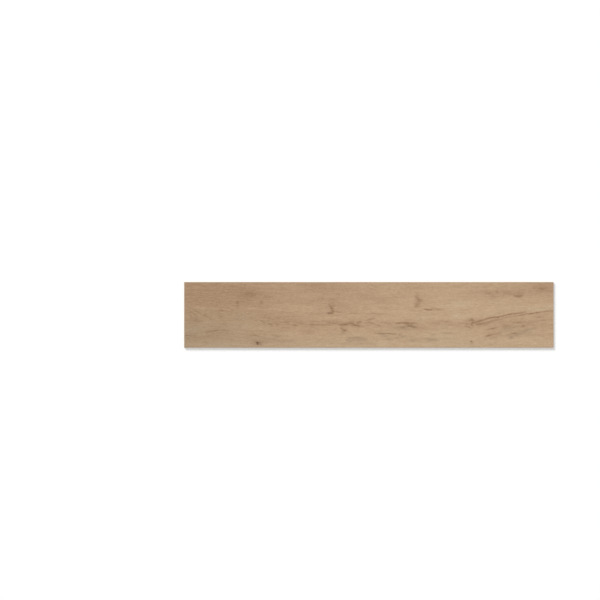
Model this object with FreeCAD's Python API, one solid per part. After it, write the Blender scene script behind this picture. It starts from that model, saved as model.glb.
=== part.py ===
"""Wood look porcelain plank tile: one pressed, fired and edge-ground plank, lying on its back.

X runs along the plank, Y across it and Z up through its thickness. The origin is the centre of
the back. The face is flat here, apart from its ground edges, because its grain is fine relief.
"""

import FreeCAD
import Part
import math
import os

# Outline and section, in millimetres
PLANK_LENGTH = 1143.0
PLANK_WIDTH = 203.2
PLANK_THICKNESS = 9.5
FACE_ARRIS = 0.6

# Pressed back: shallow cells between ribs, inside a plain border
BACK_BORDER = 10.0
RIB_WIDTH = 4.0
CELL_PITCH = 28.0
CELL_DEPTH = 0.8
CELL_CORNER_CUT = 4.0
CELL_WALL_LEAN = 45.0  # degrees that a cell's wall leans out from upright


def ground_blank():
    """Plain plank with a bevel of 45 degrees along the four edges of its face."""
    corner = FreeCAD.Vector(-PLANK_LENGTH / 2, -PLANK_WIDTH / 2, 0)
    blank = Part.makeBox(PLANK_LENGTH, PLANK_WIDTH, PLANK_THICKNESS, corner)
    face_edges = [edge for edge in blank.Edges if edge.BoundBox.ZMin > PLANK_THICKNESS / 2]
    return blank.makeChamfer(FACE_ARRIS, face_edges)


def cell_corners(length, width, height):
    """Corners of a cell of the given mouth at one height: a rectangle with its corners cut off."""
    inset = height * math.tan(math.radians(CELL_WALL_LEAN))
    x = length / 2 - inset
    y = width / 2 - inset
    cut = CELL_CORNER_CUT - inset * (2 - math.sqrt(2))
    quarter = [(x, y - cut), (x - cut, y)]
    half = quarter + [(-a, b) for a, b in reversed(quarter)]
    return [FreeCAD.Vector(a, b, height) for a, b in half + [(-a, -b) for a, b in half]]


def flat_face(corners):
    """Plane face inside the given corners."""
    return Part.Face(Part.makePolygon(corners + corners[:1]))


def cell_cutter(length, width):
    """Tapered block that presses one cell of the given mouth, and runs out below the back."""
    low = cell_corners(length, width, -CELL_DEPTH)
    high = cell_corners(length, width, CELL_DEPTH)
    walls = [
        flat_face([low[side - 1], low[side], high[side], high[side - 1]])
        for side in range(len(low))
    ]
    return Part.Solid(Part.Shell(walls + [flat_face(low), flat_face(high)]))


def cell_row(span):
    """Pitch and centres of the cells that fill a span, with a rib between each two."""
    count = max(1, round((span + RIB_WIDTH) / CELL_PITCH))
    pitch = (span + RIB_WIDTH) / count
    return pitch, [(index - (count - 1) / 2) * pitch for index in range(count)]


def back_cells():
    """Cutters of all the cells, in a grid that fills the back inside its border."""
    pitch_x, centres_x = cell_row(PLANK_LENGTH - 2 * BACK_BORDER)
    pitch_y, centres_y = cell_row(PLANK_WIDTH - 2 * BACK_BORDER)
    cutter = cell_cutter(pitch_x - RIB_WIDTH, pitch_y - RIB_WIDTH)
    return [cutter.translated(FreeCAD.Vector(x, y, 0)) for x in centres_x for y in centres_y]


def plank():
    """The whole plank, as one solid."""
    return ground_blank().cut(back_cells()).Solids[0]


def main():
    """Builds the plank, prints its facts and writes it as STEP."""
    tile = plank()
    print(f"plank: valid {tile.isValid()}, {len(tile.Faces)} faces, {tile.Volume / 1000:.1f} cm3")
    os.makedirs("parts", exist_ok=True)
    tile.exportStep("parts/plank.step")


main()
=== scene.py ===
"""Looks of a wood look porcelain plank tile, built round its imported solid.

The plank lies on its back, with X along it, Y across it and Z up, in metres. Places on its printed
face are in millimetres from its left end and from its rear edge, as its maker would measure them,
and the tones of the print are in sRGB levels, of which there are 255 between black and white.
"""

import logging
import math
from dataclasses import dataclass
from enum import Enum, IntEnum

import bpy
import numpy as np
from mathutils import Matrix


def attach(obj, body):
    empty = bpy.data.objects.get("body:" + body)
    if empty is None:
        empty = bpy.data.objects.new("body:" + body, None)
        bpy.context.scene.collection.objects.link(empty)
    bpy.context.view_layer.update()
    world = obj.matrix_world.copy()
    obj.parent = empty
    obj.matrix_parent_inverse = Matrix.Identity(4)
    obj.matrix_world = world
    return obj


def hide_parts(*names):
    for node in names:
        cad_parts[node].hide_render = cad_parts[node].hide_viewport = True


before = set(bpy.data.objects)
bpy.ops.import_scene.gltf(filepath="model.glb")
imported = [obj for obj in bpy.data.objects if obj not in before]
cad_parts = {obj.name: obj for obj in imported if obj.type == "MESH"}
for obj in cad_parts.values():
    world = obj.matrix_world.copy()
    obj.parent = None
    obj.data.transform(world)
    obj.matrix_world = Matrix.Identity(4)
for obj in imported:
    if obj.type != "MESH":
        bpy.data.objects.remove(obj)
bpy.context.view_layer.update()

log = logging.getLogger("plank_tile")

Array = np.ndarray
Place = tuple[float, float]
Counts = tuple[int, int]
Ring = tuple[list[int], Counts]
Colour = tuple[float, float, float, float]

MILLIMETRE = 0.001
LEVELS = 255
WHITE: Colour = (1.0, 1.0, 1.0, 1.0)


def linear(red: float, green: float, blue: float) -> Colour:
    """Linear colour of an sRGB one, which is given in levels."""
    shares = [level / LEVELS for level in (red, green, blue)]
    return (*[s / 12.92 if s <= 0.04045 else ((s + 0.055) / 1.055) ** 2.4 for s in shares], 1.0)


class Lattice:
    """Smooth noise over a plane, from -1 to 1, the same on every run."""

    PERIOD = 512

    def __init__(self, seed: int) -> None:
        """Draws the values of the lattice's points from a seed."""
        self.points = np.random.default_rng(seed).uniform(-1, 1, (self.PERIOD, self.PERIOD))

    def at(self, x: Array, y: Array) -> Array:
        """Noise at places on the lattice.

        Args:
            x: Places along it, in steps of the lattice.
            y: Places across it, in steps of the lattice.

        Returns:
            The noise at each place.
        """
        column, row = np.floor(x).astype(int), np.floor(y).astype(int)
        right, up = x - column, y - row
        right = right * right * (3 - 2 * right)
        up = up * up * (3 - 2 * up)
        near = self._point(column, row) * (1 - right) + self._point(column + 1, row) * right
        far = self._point(column, row + 1) * (1 - right) + self._point(column + 1, row + 1) * right
        return near * (1 - up) + far * up

    def _point(self, column: Array, row: Array) -> Array:
        """Values of the lattice's points in these columns and rows."""
        return self.points[row % self.PERIOD, column % self.PERIOD]


class Ink(float, Enum):
    """Inks of the print, by the share of a mark's darkness that is taken from its red as well."""

    BROWN = 0.0
    TAUPE = 0.25
    SLATE = 0.6
    GREY = 1.0
    # For pale marks, whose darkness is negative
    FROST = -0.8


@dataclass(frozen=True)
class Smudge:
    """A soft oval mark of the print.

    Attributes:
        at: Its centre.
        reach: Its half length and half width.
        dark: Levels by which it darkens the print, or lightens it if negative.
        ink: What it is printed with.
    """

    at: Place
    reach: Place
    dark: float
    ink: Ink = Ink.BROWN

    # Millimetres that it is pressed in for each level of its darkness
    PRESS = 0.0025

    def cover(self, along: Array, down: Array) -> Array:
        """How much of the mark lies at each place of the face, from 0 to 1."""
        (x, y), (length, width) = self.at, self.reach
        return np.exp(-(((along - x) / length) ** 2) - ((down - y) / width) ** 2)


@dataclass(frozen=True)
class Streak:
    """A mark of the print along a line, such as a crack or a grain line, which fades at its ends.

    Attributes:
        path: The points of the line.
        width: Its half width.
        dark: Levels by which it darkens the print, or lightens it if negative.
        ink: What it is printed with.
    """

    path: tuple[Place, ...]
    width: float
    dark: float
    ink: Ink = Ink.BROWN

    # Millimetres that it is pressed in for each level of its darkness
    PRESS = 0.006
    # How late it fades at its ends: the nearer to 0, the later
    BLUNTNESS = 0.4

    def cover(self, along: Array, down: Array) -> Array:
        """Spreads the mark over the face.

        Args:
            along: Millimetres from the left end, at each place.
            down: Millimetres from the rear edge, at each place.

        Returns:
            How much of the mark lies at each place, from 0 to 1.
        """
        points = np.array(self.path, float)
        runs = np.linalg.norm(np.diff(points, axis=0), axis=1)
        gone = np.concatenate([[0.0], np.cumsum(runs)]) / runs.sum()
        nearest = np.full(along.shape, np.inf)
        share = np.zeros(along.shape)
        for start, end, run, before, after in zip(points, points[1:], runs, gone, gone[1:]):
            ahead_x, ahead_y = end - start
            from_x, from_y = along - start[0], down - start[1]
            part = np.clip((from_x * ahead_x + from_y * ahead_y) / run**2, 0, 1)
            away = np.hypot(from_x - part * ahead_x, from_y - part * ahead_y)
            closer = away < nearest
            nearest = np.where(closer, away, nearest)
            share = np.where(closer, before + part * (after - before), share)
        fading = (4 * share * (1 - share)) ** self.BLUNTNESS
        return fading * np.exp(-((nearest / self.width) ** 2))


@dataclass(frozen=True)
class Bend:
    """A line that the grain follows where it leaves the straight, and takes its neighbours along.

    Attributes:
        path: The points of the line, from left to right.
        reach: How far above and below it the grain still follows.
    """

    path: tuple[Place, ...]
    reach: Place

    # Millimetres to either side over which its corners are eased, and the places averaged there
    EASE = 16.0
    EASE_PLACES = 5

    def shift(self, along: Array, down: Array) -> Array:
        """Carries the grain along with the line.

        Args:
            along: Millimetres from the left end, at each place.
            down: Millimetres from the rear edge, at each place.

        Returns:
            How far the grain is carried down at each place.
        """
        nearby = np.linspace(-self.EASE, self.EASE, self.EASE_PLACES)
        line = np.mean([np.interp(along + step, *zip(*self.path)) for step in nearby], axis=0)
        above, below = self.reach
        away = (down - line) / np.where(down < line, above, below)
        return (line - self.path[0][1]) * np.exp(-(away**2))


Mark = Smudge | Streak

# Broad tones of the print, from left to right
WASHES: tuple[Smudge, ...] = (
    Smudge((0, 165), (200, 62), 8, Ink.GREY),
    Smudge((22, 146), (26, 9), -3, Ink.FROST),
    Smudge((60, 38), (230, 72), 16),
    Smudge((130, 196), (80, 13), -6, Ink.FROST),
    Smudge((178, 62), (40, 14), 4),
    Smudge((178, 108), (40, 12), 2, Ink.GREY),
    Smudge((178, 134), (48, 14), -3, Ink.FROST),
    Smudge((206, 37), (34, 16), 7),
    Smudge((250, 180), (60, 22), 3, Ink.GREY),
    Smudge((300, 118), (75, 24), 5),
    Smudge((322, 16), (35, 16), -3),
    Smudge((360, 88), (60, 14), -4),
    Smudge((420, 192), (150, 20), -4, Ink.FROST),
    Smudge((430, 41), (60, 12), 2),
    Smudge((440, 12), (90, 20), 8),
    Smudge((440, 130), (95, 10), 4),
    Smudge((465, 66), (45, 26), 5),
    Smudge((465, 113), (36, 10), -3),
    Smudge((525, 180), (40, 12), 2, Ink.SLATE),
    Smudge((536, 162), (34, 9), -4),
    Smudge((540, 138), (30, 8), 4),
    Smudge((590, 50), (75, 11), 5),
    Smudge((590, 148), (60, 15), -3),
    Smudge((607, 188), (34, 12), -3),
    Smudge((700, 134), (280, 14), 5),
    Smudge((740, 60), (40, 34), 4),
    Smudge((770, 16), (60, 14), -3),
    Smudge((800, 190), (370, 30), -6),
    Smudge((800, 90), (45, 14), 4),
    Smudge((815, 164), (50, 24), -3, Ink.FROST),
    Smudge((815, 158), (50, 16), -2),
    Smudge((850, 85), (260, 66), -10),
    Smudge((850, 192), (330, 18), -3, Ink.FROST),
    Smudge((890, 162), (34, 10), -2),
    Smudge((960, 158), (40, 10), 3),
    Smudge((960, 122), (90, 17), 8),
    Smudge((985, 38), (115, 12), 8),
    Smudge((1040, 158), (70, 15), 3, Ink.SLATE),
    Smudge((1070, 124), (80, 16), 3),
    Smudge((1090, 190), (90, 18), -5),
    Smudge((1090, 150), (60, 15), -4),
    Smudge((1110, 15), (70, 22), 7),
    Smudge((1110, 75), (90, 18), -4),
    Smudge((1112, 45), (40, 12), -4),
)

# Marks of the print at its left end
LEFT_END: tuple[Mark, ...] = (
    Smudge((207, 38), (26, 11), 6),
    Smudge((186, 39), (14, 5), 6),
    Smudge((201, 31), (7, 5), 3),
    Smudge((214, 41), (11, 5), 5),
    Smudge((165, 63), (4, 6), 18, Ink.TAUPE),
    Smudge((167, 75), (4, 5), 5),
    Smudge((179, 25), (5, 3), 9),
    Smudge((165, 39), (4, 4), 6),
    Smudge((237, 65), (4.5, 5.5), 17),
    Streak(((243, 42), (258, 48), (268, 45), (277, 52)), 3.0, 12),
    Smudge((300, 17), (5, 7), 6),
    Smudge((12, 7), (18, 4), 6),
    Smudge((8, 38), (14, 3), 7),
    Smudge((103, 6), (12, 4), 5),
    Streak(((20, 79), (58, 81), (85, 80), (108, 82)), 2.4, -12),
    Streak(((120, 82), (138, 86), (152, 82), (160, 78)), 2.2, -8),
    Streak(((165, 79), (200, 81), (240, 84), (290, 86), (360, 88)), 2.2, -9),
    Streak(((60, 101), (66, 103), (76, 109), (88, 117)), 2.2, 9),
    Smudge((64, 102), (4, 2.6), 14),
    Smudge((116, 87), (4.5, 3), 13),
    Smudge((115, 106), (4.5, 3), 10),
    Smudge((106, 97), (5, 5), 6),
    Smudge((39, 121), (14, 5), 15),
    Smudge((126, 132), (8, 5), 6),
    Streak(((4, 93), (16, 99), (23, 108), (20, 118)), 2.2, 12),
    Streak(((12, 88), (30, 97), (40, 108), (36, 120)), 2.2, 12),
    Streak(((30, 86), (48, 96), (56, 106)), 2.2, 10),
    Streak(((38, 153), (58, 154), (70, 156), (85, 153), (106, 149)), 2.3, 10),
    Streak(((66, 155), (90, 151), (112, 149), (140, 150)), 2.3, 14),
    Streak(((70, 161), (96, 157), (120, 156), (142, 158)), 2.0, 11),
    Streak(((112, 152), (136, 152), (160, 156)), 2.0, 7),
    Streak(((150, 158), (190, 160), (225, 165), (252, 171)), 2.2, 8),
    Streak(((196, 163), (228, 168), (250, 174)), 2.0, 7),
    Streak(((1, 166), (12, 165.5), (23, 167)), 1.8, 16),
    Streak(((3, 173), (12, 174), (20, 176)), 1.8, 13),
    Smudge((60, 172), (50, 8), 4),
    Smudge((45, 142), (22, 4), -5, Ink.FROST),
    Smudge((209, 113), (4, 3), 8),
    Smudge((236, 92), (5, 4), 6),
    Streak(((164, 103), (161, 109), (165, 116)), 2.0, -7, Ink.FROST),
    Streak(((169, 98), (174, 104), (174, 112), (170, 117)), 2.0, -7, Ink.FROST),
    Streak(((179, 95), (187, 102), (188, 110), (182, 117)), 2.2, -7, Ink.FROST),
)

# Pin knot and the dashes to the right of it
LEFT_MIDDLE: tuple[Mark, ...] = (
    Smudge((227, 190), (2.9, 3.1), 76),
    Smudge((230, 188), (14, 8), 18),
    Smudge((237, 190), (6, 3.4), 13),
    Smudge((219, 183), (9, 5), 5),
    Streak(((230, 114), (240, 121), (249, 130)), 2.4, 20),
    Streak(((256, 126), (266, 130), (276, 136)), 2.6, 17),
    Streak(((246, 109), (262, 113), (276, 118)), 2.8, 11),
    Streak(((282, 110), (298, 118)), 2.8, 12),
    Streak(((280, 124), (293, 133)), 2.6, 12),
    Streak(((306, 123), (316, 125), (324, 128)), 2.2, 16),
    Streak(((335, 131.5), (342, 133.5), (350, 134.5)), 2.4, 20),
    Streak(((347, 124), (360, 128), (376, 129)), 2.2, 12),
    Streak(((372, 131), (388, 133), (402, 132)), 2.4, 12),
    Streak(((302, 138), (316, 142), (330, 143)), 2.2, 8),
    Smudge((384, 155), (16, 4.5), 9),
    Smudge((291, 167), (6, 3), 8, Ink.SLATE),
    Smudge((300, 184), (18, 4.5), 9),
    Smudge((325, 184), (14, 3.5), 6, Ink.SLATE),
    Smudge((205, 178), (9, 3), 6),
    Smudge((255, 182), (10, 4), 5),
)

# Forked knot, the main crack and what lies round them
MIDDLE: tuple[Mark, ...] = (
    Streak(((448, 67), (450, 73), (455, 79), (461, 86)), 3.4, 24),
    Streak(((454, 76), (460, 74.5), (468, 75.5)), 2.2, 17),
    Streak(((463, 84), (462, 90), (455, 95), (443, 97.5)), 3.4, 23),
    Smudge((449, 97), (6, 2.8), 22),
    Smudge((460, 96.5), (5, 3.2), 26),
    Smudge((459, 87), (6, 7), 15),
    Smudge((468, 70), (14, 12), 4),
    Streak(((463, 92), (474, 92), (488, 93)), 2.2, 14),
    Streak(((486, 93), (508, 92)), 2.2, 10),
    Streak(((512, 95), (538, 98)), 2.2, 11),
    Streak(((566, 99), (584, 97), (604, 99), (630, 99)), 2.6, 13),
    Smudge((418, 86), (5, 2.5), 5),
    Streak(((386, 133), (408, 132), (434, 133), (470, 132)), 2.4, 12),
    Streak(((436, 125), (456, 127), (480, 130)), 2.6, 9),
    Smudge((430, 122), (45, 4.5), 4),
    Streak(((478, 131), (488, 132), (502, 131.5)), 3.2, 27),
    Streak(((494, 131), (508, 129), (520, 126.5), (530, 123)), 5.0, 12),
    Smudge((509, 127.5), (18, 5.5), 9),
    Streak(((518, 131), (526, 132.5), (534, 134), (546, 136)), 3.8, 24),
    Smudge((529, 132.5), (7, 3), 10),
    Streak(((538, 135), (550, 137), (560, 138)), 2.4, 8),
    Smudge((530, 125.5), (4, 2.6), -18),
    Streak(((533, 126.5), (541, 125), (551, 121.5)), 2.6, 30),
    Streak(((554, 127), (572, 125), (588, 127)), 2.4, 13),
    Streak(((560, 119), (574, 116), (592, 111)), 2.4, 15),
    Streak(((568, 125), (584, 129), (596, 133), (612, 138)), 2.2, 15),
    Smudge((568, 133), (6, 2.5), 7),
    Smudge((572, 144), (9, 2.5), 6),
    Streak(((484, 140), (491, 145), (500, 151)), 2.6, 18),
    Smudge((501, 149.5), (4.5, 3), 22),
    Smudge((493, 154), (6, 6), 14, Ink.TAUPE),
    Smudge((486, 161), (20, 3), 6),
    Smudge((425, 55), (32, 5), 5),
    Smudge((560, 48), (30, 5), 4),
    Smudge((620, 51), (26, 4), 5),
    Streak(((638, 36), (650, 43), (660, 48)), 2.6, 12),
    Streak(((572, 6), (590, 14), (602, 12)), 2.4, 9),
    Streak(((566, 14), (582, 21)), 2.4, 9),
    Streak(((498, 182), (514, 173), (536, 171), (552, 176), (568, 180)), 4.0, 11, Ink.SLATE),
    Smudge((532, 180), (26, 6), 5, Ink.SLATE),
    Smudge((513, 185), (6, 3), 6, Ink.SLATE),
    Smudge((550, 192), (8, 2.6), 6, Ink.SLATE),
    Smudge((583, 191), (14, 4), 5, Ink.SLATE),
    Smudge((418, 187), (5, 3), 6, Ink.SLATE),
    Smudge((574, 87), (20, 4), -5),
)

# Second crack and the upright knot
RIGHT_MIDDLE: tuple[Mark, ...] = (
    Streak(((588, 159), (604, 161), (618, 160.5)), 1.9, 15, Ink.TAUPE),
    Streak(((600, 159.5), (622, 159), (642, 160), (658, 161)), 2.4, 23, Ink.TAUPE),
    Smudge((620, 166), (10, 4), 13, Ink.SLATE),
    Smudge((634, 176.5), (10, 3.2), 14, Ink.SLATE),
    Smudge((657, 173), (8, 2.6), 16, Ink.TAUPE),
    Smudge((680, 169.5), (12, 3.5), 14, Ink.SLATE),
    Smudge((668, 161), (8, 3), 9, Ink.SLATE),
    Streak(((606, 125), (628, 125), (644, 127)), 2.4, 14),
    Streak(((643, 122), (653, 128), (668, 129)), 2.4, 18),
    Streak(((652, 128), (668, 127), (682, 126.5), (696, 126)), 2.7, 27),
    Smudge((681, 127.5), (8, 3.2), 20),
    Streak(((690, 127.5), (704, 127), (722, 125.5)), 2.6, 18),
    Smudge((694, 132), (18, 6), 6),
    Smudge((694, 117), (10, 5), 8),
    Smudge((702, 138), (17, 6), 14, Ink.TAUPE),
    Streak(((682, 132), (692, 135.5), (706, 138.5), (722, 141)), 4.6, 14),
    Streak(((706, 139), (718, 141), (730, 143), (746, 143)), 3.2, 10),
    Smudge((733, 150), (5, 3), 9),
    Smudge((682, 144), (24, 5.5), 9, Ink.SLATE),
    Streak(((648, 138), (666, 140), (684, 142)), 2.4, 12, Ink.TAUPE),
    Streak(((714, 38), (722, 47), (728, 57), (723, 67), (712, 78)), 6.5, 15),
    Smudge((728, 57), (10, 7), 10),
    Smudge((720, 49), (6, 6), 5),
    Smudge((722, 68), (7, 6), 9),
    Smudge((739, 58), (6, 3), 8),
    Smudge((717, 76), (8, 3.4), 9),
    Smudge((728, 76), (6, 4), 8),
    Smudge((746, 68), (4, 4), 9),
    Smudge((742, 40), (4, 3), 8),
    Streak(((704, 88), (724, 89), (738, 87)), 2.2, 11),
    Streak(((740, 83.5), (751, 85.5), (760, 85.5), (769, 84)), 1.8, 44),
    Smudge((772, 81), (9, 3.6), 14),
    Smudge((788, 85), (13, 3.2), 17),
    Smudge((868, 85), (12, 2.4), 8),
    Smudge((778, 127), (16, 4.5), 16),
    Smudge((815, 123), (14, 3.6), 13),
    Streak(((800, 131), (826, 132), (856, 136)), 2.4, 9),
    Smudge((797, 118), (5, 5), 7),
    Smudge((706, 181), (14, 5.5), 12, Ink.SLATE),
    Smudge((764, 177), (24, 6.5), 11, Ink.SLATE),
    Smudge((769, 163), (9, 2.6), 12, Ink.SLATE),
    Streak(((798, 160), (814, 158), (830, 159)), 2.0, 18, Ink.TAUPE),
    Smudge((820, 173), (18, 3.5), 5, Ink.SLATE),
    Smudge((736, 112), (15, 5), -4, Ink.FROST),
)

# Long crack that climbs to the right end, and the clouds above it
RIGHT_END: tuple[Mark, ...] = (
    Streak(((846, 121), (854, 127), (870, 129), (890, 130)), 2.4, 16),
    Streak(((858, 138), (874, 137.5), (884, 139), (890, 146)), 2.4, 18),
    Smudge((889, 131), (7, 3), 8),
    Streak(((888, 131), (895, 139)), 2.2, 16),
    Streak(((879, 122), (890, 115.5), (900, 122)), 3.6, 27),
    Smudge((890, 119.5), (7, 4), 15),
    Streak(((891, 118), (893, 130)), 2.4, 12),
    Smudge((874, 120), (6, 3.6), 14),
    Streak(((886, 129.5), (897, 126.5), (909, 123), (923, 119)), 2.6, 42),
    Streak(((918, 120), (930, 117), (942, 112.5), (956, 110), (976, 109)), 2.2, 34),
    Streak(((968, 110), (984, 105.5), (998, 101.5), (1014, 99), (1030, 96.5), (1060, 93)), 2.2, 34),
    Streak(((901, 131), (912, 129.5), (928, 126.5), (946, 123), (964, 118.5), (986, 114.5)), 2.3, 21),
    Smudge((909, 132), (8, 3), 12),
    Smudge((930, 133), (9, 6), 10),
    Streak(((984, 112), (1006, 108), (1032, 104.5), (1056, 99.5)), 2.2, 16),
    Streak(((1034, 102), (1060, 99), (1094, 94), (1112, 91), (1135, 90), (1160, 90)), 2.3, 22),
    Smudge((1117, 91), (12, 2.4), 8),
    Smudge((1093, 95), (4.5, 2.4), 14),
    Smudge((1074, 97.5), (7, 2.4), 8),
    Streak(((930, 149), (946, 145), (958, 143), (972, 141)), 2.5, 21),
    Smudge((956, 143), (8, 2.6), 7),
    Streak(((933, 167.5), (944, 166), (956, 164)), 2.6, 34),
    Streak(((954, 164), (968, 161.5), (982, 158.5)), 2.4, 17),
    Streak(((940, 175.5), (954, 174), (972, 172)), 2.4, 10, Ink.TAUPE),
    Smudge((890, 184.5), (4, 3.6), 38),
    Smudge((887, 193), (6, 6), 6, Ink.SLATE),
    Smudge((1034, 125), (20, 4), 14),
    Smudge((1050, 137), (5, 3), 27),
    Smudge((995, 134), (14, 4), 12),
    Smudge((1000, 144), (15, 5), 11, Ink.SLATE),
    Smudge((1025, 138), (8, 2.6), 14, Ink.SLATE),
    Streak(((1060, 148), (1076, 144.5), (1092, 140)), 3.0, 13, Ink.SLATE),
    Smudge((1054, 153), (16, 5.5), 11, Ink.SLATE),
    Smudge((1024, 158.5), (11, 3.2), 15, Ink.TAUPE),
    Streak(((992, 165), (1012, 162), (1030, 157)), 2.6, 13),
    Smudge((1032, 164), (9, 3), 12, Ink.SLATE),
    Smudge((1012, 171), (10, 4), 12, Ink.SLATE),
    Streak(((1058, 126), (1076, 125), (1092, 121), (1112, 118), (1138, 115)), 2.4, 11),
    Smudge((1098, 108.5), (13, 4), 20),
    Smudge((1038, 36), (15, 8), 12),
    Streak(((1017, 41), (1025, 44), (1035, 45.5), (1048, 43)), 2.8, 28),
    Smudge((968, 30), (6, 5), 18),
    Smudge((944, 34), (9, 4.5), 15),
    Smudge((956, 45), (10, 5), 10),
    Smudge((932, 28), (8, 6), 5),
    Smudge((1108, 20), (25, 11), 10),
    Smudge((1109, 23), (8, 4), 12),
    Smudge((1099, 29), (12, 4), 8),
    Streak(((1122, 28), (1132, 29), (1143, 28)), 2.6, 16),
    Smudge((1002, 33), (15, 7), 8),
    Smudge((846, 103), (18, 10), -3.5, Ink.FROST),
    Smudge((852, 67), (24, 7), -4, Ink.FROST),
    Smudge((1100, 84), (45, 3.6), -6, Ink.FROST),
    Smudge((1130, 75), (14, 5), -5, Ink.FROST),
    Streak(((845, 16), (858, 19), (872, 12), (888, 16), (904, 10)), 2.6, -8),
    Streak(((860, 26), (874, 22), (890, 24)), 2.4, -7),
)

MARKS = LEFT_END + LEFT_MIDDLE + MIDDLE + RIGHT_MIDDLE + RIGHT_END

# Where the grain leaves the straight
BENDS: tuple[Bend, ...] = (
    Bend(((850, 129), (890, 128), (940, 113), (1000, 101), (1056, 94), (1143, 88)), (50, 90)),
    Bend(((0, 158), (60, 155), (105, 149), (160, 156), (230, 166), (330, 170), (640, 158)), (28, 28)),
    Bend(((425, 90), (452, 80), (480, 90)), (12, 12)),
    Bend(((690, 66), (725, 54), (765, 66)), (14, 14)),
    Bend(((200, 190), (227, 181), (255, 190)), (9, 9)),
)


class Held(str, Enum):
    """Names under which the mesh holds the figure of the wood at its points."""

    TONE = "print_tone"
    INK = "mark_ink"
    COOL = "print_cool"
    FLOW = "grain_flow"


@dataclass
class PaintedGrain:
    """The figure of the wood at each place of the face.

    Attributes:
        tone: Levels by which the ground is lighter than the plain print.
        ink: Levels by which the marks darken that ground.
        cool: Levels of red taken out of the print.
        flow: Millimetres by which the grain is carried down.
        depth: Millimetres by which the face is pressed in.
    """

    tone: Array
    ink: Array
    cool: Array
    flow: Array
    depth: Array

    def held(self) -> dict[Held, Array]:
        """What the mesh holds of it, by name."""
        return {Held.TONE: self.tone, Held.INK: self.ink, Held.COOL: self.cool, Held.FLOW: self.flow}


class Draw(IntEnum):
    """The draws of noise that the figure is made from, by their seeds."""

    WAVES = 1
    DRIFT_ALONG = 2
    DRIFT_DOWN = 3
    BREAKS = 4
    GROOVES = 5


class WoodFigure:
    """The printed wood: its tones, grain lines, cracks and knots, and the relief pressed with them."""

    # How far the marks drift along and down, and the size of the bits that they break up into
    DRIFT: Place = (2.2, 0.9)
    DRIFT_STEP: Place = (24.0, 8.0)
    BREAK_STEP: Place = (20.0, 3.4)
    BREAK_SHARE = 0.3

    # Relief: slow waves, and grooves between the fibres where their noise is over a level
    WAVE_STEP: Place = (160.0, 21.0)
    WAVE_DEPTH = 0.05
    GROOVE_STEP: Place = (80.0, 3.0)
    GROOVE_LEVEL = 0.1
    GROOVE_DEPTH = 0.14
    GROOVE_TONE = 3.0

    def paint(self, along: Array, down: Array) -> PaintedGrain:
        """Draws the figure.

        Args:
            along: Millimetres from the left end, at each place.
            down: Millimetres from the rear edge, at each place.

        Returns:
            The figure at those places.
        """
        flow = sum(bend.shift(along, down) for bend in BENDS)
        straight = down - flow
        tone, ink, cool = np.zeros((3, *along.shape))
        depth = self.WAVE_DEPTH * self._noise(Draw.WAVES, along, straight, self.WAVE_STEP)
        for wash in WASHES:
            cover = wash.cover(along, down)
            tone -= wash.dark * cover
            cool += wash.ink * wash.dark * cover

        drift_along, drift_down = self.DRIFT
        moved_along = along + drift_along * self._noise(Draw.DRIFT_ALONG, along, down, self.DRIFT_STEP)
        moved_down = down + drift_down * self._noise(Draw.DRIFT_DOWN, along, down, self.DRIFT_STEP)
        broken = 1 + self.BREAK_SHARE * self._noise(Draw.BREAKS, along, straight, self.BREAK_STEP)
        for mark in MARKS:
            cover = mark.cover(moved_along, moved_down) * broken
            ink += mark.dark * cover
            cool += mark.ink * mark.dark * cover
            depth += mark.PRESS * max(mark.dark, 0) * cover

        grooves = self._noise(Draw.GROOVES, along, straight, self.GROOVE_STEP)
        grooves = np.clip(grooves - self.GROOVE_LEVEL, 0, 1)
        depth += self.GROOVE_DEPTH * grooves
        tone -= self.GROOVE_TONE * grooves
        return PaintedGrain(tone, ink, cool, flow, depth - depth.min())

    def _noise(self, draw: Draw, along: Array, down: Array, step: Place) -> Array:
        """Noise of one draw, on a lattice with this step along and across the grain."""
        return Lattice(draw).at(along / step[0], down / step[1])


@dataclass(frozen=True)
class Signal:
    """A socket's value, on which arithmetic adds Math nodes."""

    bench: "NodeBench"
    socket: bpy.types.NodeSocket

    def __add__(self, other: "Signal | float") -> "Signal":
        """Sum of this and a value."""
        return self.bench.maths("ADD", self, other)

    def __sub__(self, other: "Signal | float") -> "Signal":
        """This less a value."""
        return self.bench.maths("SUBTRACT", self, other)

    def __rsub__(self, other: float) -> "Signal":
        """A number less this."""
        return self.bench.maths("SUBTRACT", other, self)

    def __mul__(self, other: "Signal | float") -> "Signal":
        """Product of this and a value."""
        return self.bench.maths("MULTIPLY", self, other)

    def __truediv__(self, other: "Signal | float") -> "Signal":
        """This divided by a value."""
        return self.bench.maths("DIVIDE", self, other)

    __radd__ = __add__
    __rmul__ = __mul__

    def within(self, low: float, high: float) -> "Signal":
        """Share of the way from low to high, eased and held between 0 and 1."""
        eased = {"interpolation_type": "SMOOTHSTEP"}
        return self.bench.add("MapRange", eased, {"Value": self, "From Min": low, "From Max": high})


Value = Signal | float | tuple[float, ...]


@dataclass(frozen=True)
class Grain:
    """A layer of fine grain in a finish.

    Attributes:
        step: Its size along and across, in millimetres.
        detail: How many finer layers break it up.
        draw: The noise that it is drawn from.
        tone: How strongly it shows in the colour.
        relief: Millimetres by which it stands up.
        matte: How much it adds to the roughness.
    """

    step: Place
    detail: float
    draw: float
    tone: float
    relief: float = 0.0
    matte: float = 0.0


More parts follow.
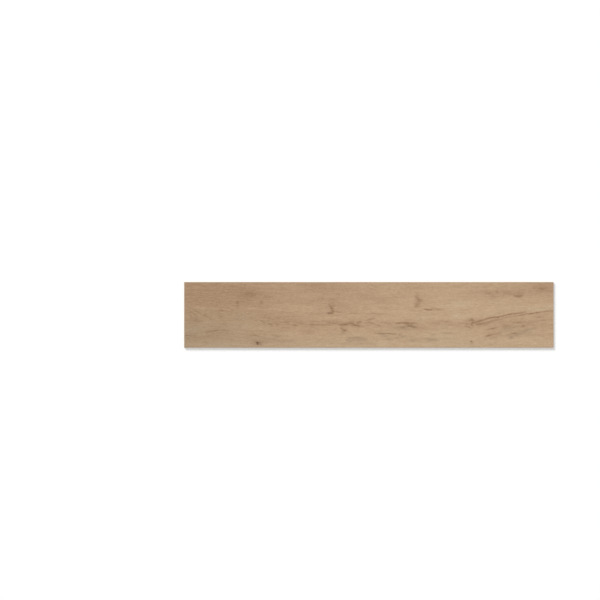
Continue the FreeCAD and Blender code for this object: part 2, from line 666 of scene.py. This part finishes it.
class NodeBench:
    """A node tree, and the one way in which nodes are added to it."""

    # Middle and spread of a Noise Texture's values
    NOISE_MIDDLE = 0.5
    NOISE_SPREAD = 0.13
    # Sockets of a Mix node that mixes colours
    MIX_SHARE, MIX_FIRST, MIX_SECOND, MIX_RESULT = 0, 6, 7, 2

    def __init__(self, tree: bpy.types.NodeTree) -> None:
        """Starts on an emptied tree."""
        self.tree = tree
        tree.nodes.clear()

    def add(
        self,
        kind: str,
        settings: dict[str, object] | None = None,
        sockets: dict[str | int, Value] | None = None,
        output: str | int = 0,
    ) -> Signal | None:
        """Adds a node.

        Args:
            kind: The node's type.
            settings: Its properties, which are set first. Stops are those of a ramp.
            sockets: Values of its inputs, or signals that are linked to them.
            output: The output to return.

        Returns:
            The output's signal, or None from a node with no output.
        """
        node = self.tree.nodes.new(f"ShaderNode{kind}")
        for name, setting in (settings or {}).items():
            if name == "stops":
                self._fill_ramp(node.color_ramp, setting)
            else:
                setattr(node, name, setting)
        for name, value in (sockets or {}).items():
            if isinstance(value, Signal):
                self.tree.links.new(value.socket, node.inputs[name])
            else:
                node.inputs[name].default_value = value
        return Signal(self, node.outputs[output]) if node.outputs else None

    def _fill_ramp(self, ramp: bpy.types.ColorRamp, stops: list[tuple[float, Colour]]) -> None:
        """Gives a ramp its stops.

        Args:
            ramp: The ramp.
            stops: Place and colour of each stop, in order.
        """
        while len(ramp.elements) < len(stops):
            ramp.elements.new(1.0)
        for element, (place, colour) in zip(ramp.elements, stops):
            element.position = place
            element.color = colour

    def maths(self, operation: str, first: Value, second: Value) -> Signal:
        """Result of a Math node on two values."""
        return self.add("Math", {"operation": operation}, {0: first, 1: second})

    def mix(self, share: Value, first: Value, second: Value, blend: str = "MIX") -> Signal:
        """Mix of two colours."""
        sockets = {self.MIX_SHARE: share, self.MIX_FIRST: first, self.MIX_SECOND: second}
        return self.add("Mix", {"data_type": "RGBA", "blend_type": blend}, sockets, self.MIX_RESULT)

    def figure(self, held: Held) -> Signal:
        """What the mesh holds of the wood's figure under that name."""
        return self.add("Attribute", {"attribute_name": held.value}, output="Fac")

    def places(self) -> tuple[Signal, Signal, Signal]:
        """Where the surface is, in millimetres along X, Y and Z."""
        here = {0: self.add("TexCoord", output="Object")}
        return tuple(self.add("SeparateXYZ", sockets=here, output=axis) / MILLIMETRE for axis in "XYZ")

    def grain(self, layer: Grain, along: Signal, across: Signal) -> Signal:
        """Noise of a layer of grain.

        Args:
            layer: The layer.
            along: Millimetres along the grain.
            across: Millimetres across the grain.

        Returns:
            The noise, about 0 and with a spread of about 1.
        """
        place = {0: along / layer.step[0], 1: across / layer.step[1], 2: layer.draw}
        vector = self.add("CombineXYZ", sockets=place)
        noise = self.add("TexNoise", sockets={"Vector": vector, "Scale": 1.0, "Detail": layer.detail})
        return (noise - self.NOISE_MIDDLE) / self.NOISE_SPREAD

    def shown(self, lighting: Signal, looks: Signal) -> Signal:
        """Mix of two shaders, by what a ray is for.

        Args:
            lighting: Shader for the rays that light the plank.
            looks: Shader for those that show it straight, in a mirror or through glass.

        Returns:
            The mixed shader.
        """
        kinds = ("Camera", "Glossy", "Transmission")
        camera, glossy, through = (self.add("LightPath", output=f"Is {kind} Ray") for kind in kinds)
        return self.add("MixShader", sockets={0: camera + glossy + through, 1: lighting, 2: looks})

    def surface(self, colour: Signal, roughness: Signal, height: Signal, specular: float) -> None:
        """Ends a finish of the plank.

        Args:
            colour: Its base colour.
            roughness: Its roughness.
            height: Its relief, in millimetres.
            specular: How strongly it reflects.
        """
        bump = self.add("Bump", sockets={"Strength": 1.0, "Distance": MILLIMETRE, "Height": height})
        sockets = {"Base Color": colour, "Roughness": roughness, "Normal": bump}
        self.finish(self.add("BsdfPrincipled", sockets={**sockets, "Specular IOR Level": specular}))

    def finish(self, shader: Signal, output: str = "OutputMaterial") -> None:
        """Gives the shader to the tree's output."""
        self.add(output, sockets={"Surface": shader})


class Finish:
    """What a surface is finished with."""

    name: str

    def material(self) -> bpy.types.Material:
        """Makes the finish as a material.

        Returns:
            The material.
        """
        material = bpy.data.materials.new(self.name)
        material.use_nodes = True
        self.lay(NodeBench(material.node_tree))
        return material

    def lay(self, bench: NodeBench) -> None:
        """Makes the finish's nodes."""
        raise NotImplementedError


@dataclass(frozen=True)
class PrintedGlaze(Finish):
    """Matte glaze over a print of oak: the mesh holds its figure, and nodes make its fibres."""

    name: str = "printed_matte_glaze"
    roughness: float = 0.62
    specular: float = 0.3

    # Fine grain that follows the figure, with its tones in levels
    FIBRES = Grain((26.0, 1.0), 2.0, 21.5, tone=3.5, relief=0.016, matte=-0.02)
    HAIRS = Grain((9.0, 0.4), 1.0, 33.5, tone=2.5, relief=0.010)
    PORES = Grain((11.0, 0.8), 0.0, 41.5, tone=-14.0, relief=-0.08, matte=0.12)
    BANDS = Grain((200.0, 9.0), 1.0, 0.5, tone=1.4)
    STRIPES = Grain((40.0, 3.4), 1.0, 7.5, tone=1.5)
    # Mottling of the print, which lies straight
    FLECKS = Grain((10.0, 3.6), 2.0, 12.5, tone=2.6)
    GRIT = Grain((4.2, 2.1), 0.0, 17.5, tone=2.2)

    # Noise at which a pore begins and is whole
    PORE_OPENS = (1.5, 2.4)
    # Levels of ink at which a crack begins and is whole, and by which the fibres fray it
    CRACK_OPENS = (22.0, 36.0)
    CRACK_FRAY = 8.0
    CRACK_TONE = -4.0
    CRACK_RELIEF = -0.12
    # Noise of the fibres that take least and most of a mark's ink, and the shares that they take
    INK_FIBRES = (-1.0, 1.0)
    INK_SHARES = (0.4, 1.6)

    # Colours of the print at a number of levels from its plain tone
    TONES = (
        (-100.0, linear(68, 48, 32)),
        (-60.0, linear(119.5, 91, 66)),
        (-30.0, linear(151, 119.5, 89.5)),
        (0.0, linear(182, 152, 121)),
        (15.0, linear(196, 167.5, 135.5)),
        (30.0, linear(208.5, 186, 158)),
    )
    # What the cool inks multiply the print by, and the levels at which they do so in full
    COOL_TINT = (0.885, 0.965, 1.01, 1.0)
    COOL_LEVELS = 10.0

    def lay(self, bench: NodeBench) -> None:
        """Makes the finish's nodes.

        Args:
            bench: Where they are made.
        """
        along, across, _ = bench.places()
        grain = across + bench.figure(Held.FLOW)
        ink = bench.figure(Held.INK)
        fibres = bench.grain(self.FIBRES, along, grain)
        hairs = bench.grain(self.HAIRS, along, grain)
        pores = bench.grain(self.PORES, along, grain).within(*self.PORE_OPENS)
        cracks = (ink + self.CRACK_FRAY * fibres).within(*self.CRACK_OPENS)

        least, most = self.INK_SHARES
        taken = least + (most - least) * fibres.within(*self.INK_FIBRES)
        levels = bench.figure(Held.TONE) - ink * taken
        levels = levels + self.FIBRES.tone * fibres + self.HAIRS.tone * hairs
        levels = levels + self.PORES.tone * pores + self.CRACK_TONE * cracks
        for layer in (self.BANDS, self.STRIPES):
            levels = levels + layer.tone * bench.grain(layer, along, grain)
        for layer in (self.FLECKS, self.GRIT):
            levels = levels + layer.tone * bench.grain(layer, along, across)

        darkest, palest = self.TONES[0][0], self.TONES[-1][0]
        span = palest - darkest
        stops = [((level - darkest) / span, colour) for level, colour in self.TONES]
        colour = bench.add("ValToRGB", {"stops": stops}, {"Fac": (levels - darkest) / span})
        cooled = bench.figure(Held.COOL) / self.COOL_LEVELS
        colour = bench.mix(cooled, colour, self.COOL_TINT, "MULTIPLY")

        height = self.FIBRES.relief * fibres + self.HAIRS.relief * hairs
        height = height + self.PORES.relief * pores + self.CRACK_RELIEF * cracks
        roughness = self.roughness + self.FIBRES.matte * fibres + self.PORES.matte * pores
        bench.surface(colour, roughness, height, self.specular)


@dataclass(frozen=True)
class GroundEdge(Finish):
    """Fired body, sawn and ground smooth, under the cut edge of the glaze."""

    name: str = "ground_porcelain_edge"
    body: Colour = linear(197, 182, 162)
    shade: Colour = linear(178, 161, 140)
    glaze: Colour = linear(178, 148, 117)
    roughness: float = 0.62
    specular: float = 0.5

    # Share of the shade in the body, and the grain that varies it: specks, and the lines of the wheel
    SHADE_SHARE = 0.4
    SPECKS = Grain((0.9, 0.9), 2.0, 3.5, tone=0.22, relief=0.006)
    LINES = Grain((45.0, 0.35), 1.0, 9.5, tone=0.22, relief=0.008, matte=0.04)
    # Heights in millimetres at which the glaze begins and is whole, and by which the specks fray it
    GLAZE_BEGINS = (8.95, 9.15)
    GLAZE_FRAY = 0.05

    def lay(self, bench: NodeBench) -> None:
        """Makes the finish's nodes.

        Args:
            bench: Where they are made.
        """
        x, y, z = bench.places()
        specks = bench.grain(self.SPECKS, x + y, z)
        lines = bench.grain(self.LINES, x + y, z)
        shaded = self.SHADE_SHARE + self.SPECKS.tone * specks + self.LINES.tone * lines
        colour = bench.mix(shaded.within(0, 1), self.body, self.shade)
        glazed = (z + self.GLAZE_FRAY * specks).within(*self.GLAZE_BEGINS)
        colour = bench.mix(glazed, colour, self.glaze)
        height = self.LINES.relief * lines + self.SPECKS.relief * specks
        bench.surface(colour, self.roughness + self.LINES.matte * lines, height, self.specular)


@dataclass(frozen=True)
class BiscuitBack(Finish):
    """Unglazed back as it leaves the kiln, with its white wash on the ribs."""

    name: str = "biscuit_back"
    body: Colour = linear(193, 177, 157)
    shade: Colour = linear(172, 155, 134)
    wash: Colour = linear(216, 208, 196)
    roughness: float = 0.85
    specular: float = 0.5

    # Share of the shade in the body, and the grain that varies it
    SHADE_SHARE = 0.4
    SPECKS = Grain((1.1, 1.1), 2.0, 5.5, tone=0.2, relief=0.02)
    CLOUDS = Grain((35.0, 35.0), 3.0, 14.5, tone=0.2)
    # Heights in millimetres between which the wash ends, and how patchy and how dense it is
    WASH_ENDS = (0.0, 0.25)
    WASH_SHARE = 0.5
    WASH_BY_CLOUDS = 0.5
    WASH_BY_SPECKS = 0.25
    WASH_HIDES = 0.75
    WASH_MATTE = 0.05

    def lay(self, bench: NodeBench) -> None:
        """Makes the finish's nodes.

        Args:
            bench: Where they are made.
        """
        x, y, z = bench.places()
        specks = bench.grain(self.SPECKS, x, y)
        clouds = bench.grain(self.CLOUDS, x, y)
        shaded = self.SHADE_SHARE + self.SPECKS.tone * specks + self.CLOUDS.tone * clouds
        colour = bench.mix(shaded.within(0, 1), self.body, self.shade)
        patches = self.WASH_SHARE + self.WASH_BY_CLOUDS * clouds + self.WASH_BY_SPECKS * specks
        washed = patches.within(0, 1) * (1 - z.within(*self.WASH_ENDS))
        colour = bench.mix(self.WASH_HIDES * washed, colour, self.wash)
        roughness = self.roughness + self.WASH_MATTE * washed
        bench.surface(colour, roughness, self.SPECKS.relief * specks, self.specular)


class Skin(IntEnum):
    """The plank's surfaces, numbered as its materials are."""

    FACE = 0
    EDGE = 1
    BACK = 2


@dataclass(frozen=True)
class MapSheet:
    """Where the skins lie on the sheet that their textures share, in shares of the sheet's side.

    Attributes:
        margin: Bare border at the left and right.
        left_half: Lowest and highest line of the left half of the face.
        right_half: Those of its right half.
        back: Those of the back.
        edge_start: Lowest line of the first edge.
        edge_pitch: From one edge to the next.
        edge_height: From the lowest to the highest line of an edge.
        arris_from: Share of an edge's height at which its arris begins.
    """

    margin: float = 0.006
    left_half: Place = (0.645, 0.995)
    right_half: Place = (0.29, 0.64)
    back: Place = (0.11, 0.28)
    edge_start: float = 0.01
    edge_pitch: float = 0.025
    edge_height: float = 0.018
    arris_from: float = 0.6


def placed(name: str, data: bpy.types.ID) -> bpy.types.Object:
    """Puts an object into the scene.

    Args:
        name: Its name.
        data: Its mesh, lamp or lens.

    Returns:
        The object.
    """
    thing = bpy.data.objects.new(name, data)
    bpy.context.scene.collection.objects.link(thing)
    return thing


def gathered(items: bpy.types.bpy_prop_collection, name: str, kind: type, width: int = 1) -> Array:
    """Gathers one property of all the items of a mesh.

    Args:
        items: The items, such as its points.
        name: The property's name.
        kind: The type of its numbers.
        width: How many numbers an item has.

    Returns:
        The numbers, with a row for each item where it has several.
    """
    numbers = np.empty(len(items) * width, kind)
    items.foreach_get(name, numbers)
    return numbers if width == 1 else numbers.reshape(-1, width)


@dataclass
class PlankTile:
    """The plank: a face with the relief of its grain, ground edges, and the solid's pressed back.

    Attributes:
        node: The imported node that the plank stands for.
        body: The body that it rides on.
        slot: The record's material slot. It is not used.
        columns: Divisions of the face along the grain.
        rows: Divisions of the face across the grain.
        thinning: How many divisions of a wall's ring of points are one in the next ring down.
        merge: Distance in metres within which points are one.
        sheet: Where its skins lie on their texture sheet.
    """

    node: str = "plank"
    body: str = "root"
    slot: str = "glazed_porcelain"
    columns: int = 536
    rows: int = 170
    thinning: int = 4
    merge: float = 1e-6
    sheet: MapSheet = MapSheet()

    def __post_init__(self) -> None:
        """Reads the plank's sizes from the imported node."""
        self.solid = gathered(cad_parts[self.node].data.vertices, "co", np.float64, 3)
        self.low, self.high = self.solid.min(axis=0), self.solid.max(axis=0)
        top = self.solid[self.solid[:, 2] > self.high[2] - self.merge]
        self.face_half = top.max(axis=0)[:2]
        walls = self.solid[self.solid[:, 0] > self.high[0] - self.merge]
        self.wall_top = walls[:, 2].max()

    def build(self) -> bpy.types.Object:
        """Makes the plank as one closed mesh.

        Returns:
            The plank, which rides on its body in place of its node.
        """
        face, face_quads, border, grain = self._face()
        arris = self._arris(border, len(face))
        back, back_faces = self._back()
        rings, walls = self._walls(back, len(face))
        back_start = len(face) + len(rings)
        back_faces = [[back_start + corner for corner in corners] for corners in back_faces]

        mesh = bpy.data.meshes.new("plank_tile")
        points = np.concatenate([face, rings, back])
        mesh.from_pydata(points.tolist(), [], face_quads + arris + walls + back_faces)
        skins = [Skin.FACE] * len(face_quads) + [Skin.EDGE] * len(arris + walls)
        skins += [Skin.BACK] * len(back_faces)
        mesh.polygons.foreach_set("material_index", skins)
        mesh.polygons.foreach_set("use_smooth", [skin is Skin.FACE for skin in skins])
        ends = gathered(mesh.edges, "vertices", np.int32, 2)
        mesh.edges.foreach_set("use_edge_sharp", np.isin(ends, border).all(axis=1))
        for held, values in grain.held().items():
            numbers = np.zeros(len(points), np.float32)
            numbers[: len(face)] = values.ravel()
            mesh.attributes.new(held.value, "FLOAT", "POINT").data.foreach_set("value", numbers)
        self._lay_out_map(mesh)
        mesh.update()

        plank = placed("plank_tile", mesh)
        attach(plank, self.body)
        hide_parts(self.node)
        return plank

    def dress(self, plank: bpy.types.Object) -> None:
        """Gives the plank its finishes, in the order of its skins."""
        for finish in (PrintedGlaze(), GroundEdge(), BiscuitBack()):
            plank.data.materials.append(finish.material())

    def _face(self) -> tuple[Array, list[list[int]], list[int], PaintedGrain]:
        """Shapes the face.

        Returns:
            Its points, row by row from the front, its quads, the numbers of the points along its
            border, from the front left and anticlockwise as seen from above, and its figure.
        """
        half_length, half_width = self.face_half
        x, y = np.meshgrid(
            np.linspace(-half_length, half_length, self.columns + 1),
            np.linspace(-half_width, half_width, self.rows + 1),
        )
        grain = WoodFigure().paint((x - self.low[0]) / MILLIMETRE, (self.high[1] - y) / MILLIMETRE)
        z = self.high[2] - grain.depth * MILLIMETRE
        points = np.stack([x, y, z], axis=-1).reshape(-1, 3)
        grid = np.arange(x.size).reshape(x.shape)
        quads = np.stack([grid[:-1, :-1], grid[:-1, 1:], grid[1:, 1:], grid[1:, :-1]], axis=-1)
        border = np.concatenate([grid[0, :-1], grid[:-1, -1], grid[-1, :0:-1], grid[:0:-1, 0]])
        return points, quads.reshape(-1, 4).tolist(), border.tolist(), grain

    def _arris(self, border: list[int], start: int) -> list[list[int]]:
        """Joins the face to the walls with its ground arris.

        Args:
            border: Numbers of the face's border points.
            start: Number of the first point of the walls' top ring, which runs alike.

        Returns:
            The quads of the arris.
        """
        ring = list(range(start, start + len(border)))
        runs = zip(ring, ring[1:] + ring[:1], border[1:] + border[:1], border)
        return [list(corners) for corners in runs]

    def _back(self) -> tuple[Array, list[list[int]]]:
        """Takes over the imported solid's back: every face of it that stays below mid-height.

        Returns:
            Its points, of which no two share a place, and its faces.
        """
        middle = (self.low[2] + self.high[2]) / 2
        faces = [list(face.vertices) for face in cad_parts[self.node].data.polygons]
        faces = [face for face in faces if self.solid[face][:, 2].max() < middle]
        used = sorted({corner for face in faces for corner in face})
        grid = np.round(self.solid[used] / self.merge).astype(np.int64)
        _, kept, merged = np.unique(grid, axis=0, return_index=True, return_inverse=True)
        number = dict(zip(used, merged.ravel().tolist()))
        return self.solid[used][kept], [[number[corner] for corner in face] for face in faces]

    def _walls(self, back: Array, start: int) -> tuple[Array, list[list[int]]]:
        """Shapes the four walls, whose rings of points thin out from the arris to the back's corners.

        Args:
            back: The back's points, which follow those of the rings in the mesh.
            start: Number of the rings' first point in the mesh.

        Returns:
            The points of the rings, from the arris down, and the triangles of the walls.
        """
        divisions = [(self.columns, self.rows)]
        while divisions[-1] != (1, 1):
            divisions.append(tuple(max(count // self.thinning, 1) for count in divisions[-1]))
        heights = np.linspace(self.wall_top, self.low[2], len(divisions))
        *rings, corners = (self._ring(counts, height) for counts, height in zip(divisions, heights))

        starts = start + np.cumsum([0, *(len(ring) for ring in rings)])
        numbers = [list(range(first, after)) for first, after in zip(starts, starts[1:])]
        nearest = (np.linalg.norm(back - corner, axis=1).argmin() for corner in corners)
        numbers.append([int(starts[-1] + number) for number in nearest])
        numbered = list(zip(numbers, divisions))
        faces = []
        for upper, lower in zip(numbered, numbered[1:]):
            faces += self._stitched(upper, lower)
        return np.concatenate(rings), faces

    def _ring(self, counts: Counts, height: float) -> Array:
        """Places points round the walls, from the front left and anticlockwise as seen from above.

        Args:
            counts: Divisions of the long and of the short sides.
            height: The points' height.

        Returns:
            The points.
        """
        (left, front, _), (right, rear, _) = self.low, self.high
        corners = [(left, front), (right, front), (right, rear), (left, rear)]
        runs = zip(corners, corners[1:] + corners[:1], counts * 2)
        sides = [np.linspace(here, there, count, endpoint=False) for here, there, count in runs]
        flat = np.concatenate(sides)
        return np.column_stack([flat, np.full(len(flat), height)])

    def _stitched(self, upper: Ring, lower: Ring) -> list[list[int]]:
        """Joins two rings, one above the other, a stretch at a time in the order of their middles.

        Args:
            upper: Numbers of the upper ring's points, and the divisions of its sides.
            lower: Those of the lower ring.

        Returns:
            The triangles between them.
        """
        rows, stretches = [], []
        for row, (numbers, counts) in enumerate((upper, lower)):
            rows.append(numbers + numbers[:1])
            for side, count in enumerate(counts * 2):
                stretches += [(side + (step + 0.5) / count, row) for step in range(count)]
        faces, at = [], [0, 0]
        for _, row in sorted(stretches):
            above, below = rows[0][at[0]], rows[1][at[1]]
            at[row] += 1
            faces.append([below, rows[row][at[row]], above])
        return faces

    def _lay_out_map(self, mesh: bpy.types.Mesh) -> None:
        """Lays the skins out on their sheet: the face as two half lengths, the back, and each edge.

        Args:
            mesh: The plank's mesh, whose faces have their skins.
        """
        sheet = self.sheet
        sizes = gathered(mesh.polygons, "loop_total", np.int32)
        skins = np.repeat(gathered(mesh.polygons, "material_index", np.int32), sizes)
        centres = np.repeat(gathered(mesh.polygons, "center", np.float32, 3), sizes, axis=0)
        outward = np.repeat(gathered(mesh.polygons, "normal", np.float32, 3), sizes, axis=0)
        places = gathered(mesh.vertices, "co", np.float64, 3)
        places = places[gathered(mesh.loops, "vertex_index", np.int32)]
        along, across, _ = ((places - self.low) / (self.high - self.low)).T
        heights = self.low[2], self.wall_top, self.high[2]
        up = np.interp(places[:, 2], heights, (0, sheet.arris_from, 1))

        face, edge = skins == Skin.FACE, skins == Skin.EDGE
        right = face & (centres[:, 0] > 0)
        lengthwise = np.abs(outward[:, 1]) > np.abs(outward[:, 0])
        # The front edge is 0, the rear edge 1, the left end 2 and the right end 3
        number = np.where(lengthwise, outward[:, 1] > 0, 2 + (outward[:, 0] > 0))
        foot = sheet.edge_start + sheet.edge_pitch * number
        u = np.select([right, face, edge & ~lengthwise], [2 * along - 1, 2 * along, across], along)
        v = np.where(edge, up, across)
        edges = foot, foot + sheet.edge_height
        lines = zip(sheet.right_half, sheet.left_half, edges, sheet.back)
        low, high = (np.select([right, face, edge], line[:-1], line[-1]) for line in lines)
        laid = np.stack([sheet.margin + u * (1 - 2 * sheet.margin), low + v * (high - low)], axis=1)
        mesh.uv_layers.new(name="OFBake").uv.foreach_set("vector", laid.astype(np.float32).ravel())


@dataclass(frozen=True)
class StudioFloor(Finish):
    """White matte floor, a little brighter to the eye than to the light that it gives back."""

    name: str = "studio_floor"
    white: Colour = (0.8, 0.8, 0.8, 1.0)
    glow: float = 0.23

    def lay(self, bench: NodeBench) -> None:
        """Makes the finish's nodes.

        Args:
            bench: Where they are made.
        """
        matte = bench.add("BsdfDiffuse", sockets={"Color": self.white})
        light = bench.add("Emission", sockets={"Color": WHITE, "Strength": self.glow})
        bench.finish(bench.shown(matte, bench.add("AddShader", sockets={0: matte, 1: light})))


@dataclass
class Studio:
    """Floor, light and camera of the picture.

    Attributes:
        plank: The plank, whose sizes place the camera.
        floor_half: Half the floor's side, in metres.
        floor_drop: How far the floor lies under the plank, in metres.
        sky: Light from all round.
        backdrop: How bright the surroundings look.
        key: Strength of the soft lamp.
        key_angle: How wide the lamp's light comes in, in degrees.
        key_from: Compass and height from which it comes, in degrees.
        lens: Focal length in millimetres.
        sensor: Width of the picture in the camera, in millimetres.
        picture: Pixels along a side of the picture.
        plank_pixels: The plank's left end, right end and rear edge in the picture.
    """

    plank: PlankTile
    floor_half: float = 40.0
    floor_drop: float = 0.0004
    sky: float = 0.55
    backdrop: float = 1.0
    key: float = 2.05
    key_angle: float = 24.0
    key_from: Place = (125.0, 42.0)
    lens: float = 135.0
    sensor: float = 36.0
    picture: int = 600
    plank_pixels: tuple[float, float, float] = (184.15, 553.55, 282.05)

    def build(self) -> None:
        """Sets up the floor, the light, the camera and the plain view of colours."""
        self._floor()
        self._light()
        self._camera()
        bpy.context.scene.view_settings.view_transform = "Standard"

    def _floor(self) -> None:
        """A wide floor just under the plank."""
        side, level = self.floor_half, self.plank.low[2] - self.floor_drop
        mesh = bpy.data.meshes.new("floor")
        corners = ((-side, -side), (side, -side), (side, side), (-side, side))
        mesh.from_pydata([(x, y, level) for x, y in corners], [], [[0, 1, 2, 3]])
        mesh.materials.append(StudioFloor().material())
        placed("floor", mesh)

    def _light(self) -> None:
        """White light from all round, and a soft lamp from the rear left."""
        world = bpy.data.worlds.new("studio")
        world.use_nodes = True
        bpy.context.scene.world = world
        bench = NodeBench(world.node_tree)
        light = bench.add("Background", sockets={"Color": WHITE, "Strength": self.sky})
        backdrop = bench.add("Background", sockets={"Color": WHITE, "Strength": self.backdrop})
        bench.finish(bench.shown(light, backdrop), "OutputWorld")

        lamp = bpy.data.lights.new("key", "SUN")
        lamp.energy = self.key
        lamp.angle = math.radians(self.key_angle)
        compass, height = (math.radians(angle) for angle in self.key_from)
        placed("key", lamp).rotation_euler = (0.0, math.pi / 2 - height, compass)

    def _camera(self) -> None:
        """A camera straight above, with the plank where the picture has it."""
        left, right, rear = self.plank_pixels
        low, high = self.plank.low, self.plank.high
        pixel = (high[0] - low[0]) / (right - left)
        lens = bpy.data.cameras.new("camera")
        lens.lens = self.lens
        lens.sensor_width = self.sensor
        camera = placed("camera", lens)
        middle = self.picture / 2
        camera.location = (
            low[0] + (middle - left) * pixel,
            high[1] - (middle - rear) * pixel,
            high[2] + self.picture * pixel * self.lens / self.sensor,
        )
        bpy.context.scene.camera = camera


def main() -> None:
    """Builds the plank and its studio, in order."""
    logging.basicConfig(level=logging.INFO, format="%(name)s: %(message)s")
    tile = PlankTile()
    plank = tile.build()
    tile.dress(plank)
    mesh = plank.data
    log.info("%s: %d faces, %d finishes", plank.name, len(mesh.polygons), len(mesh.materials))
    Studio(tile).build()
    log.info("studio: floor, light and camera")


if __name__ == "__main__":
    main()
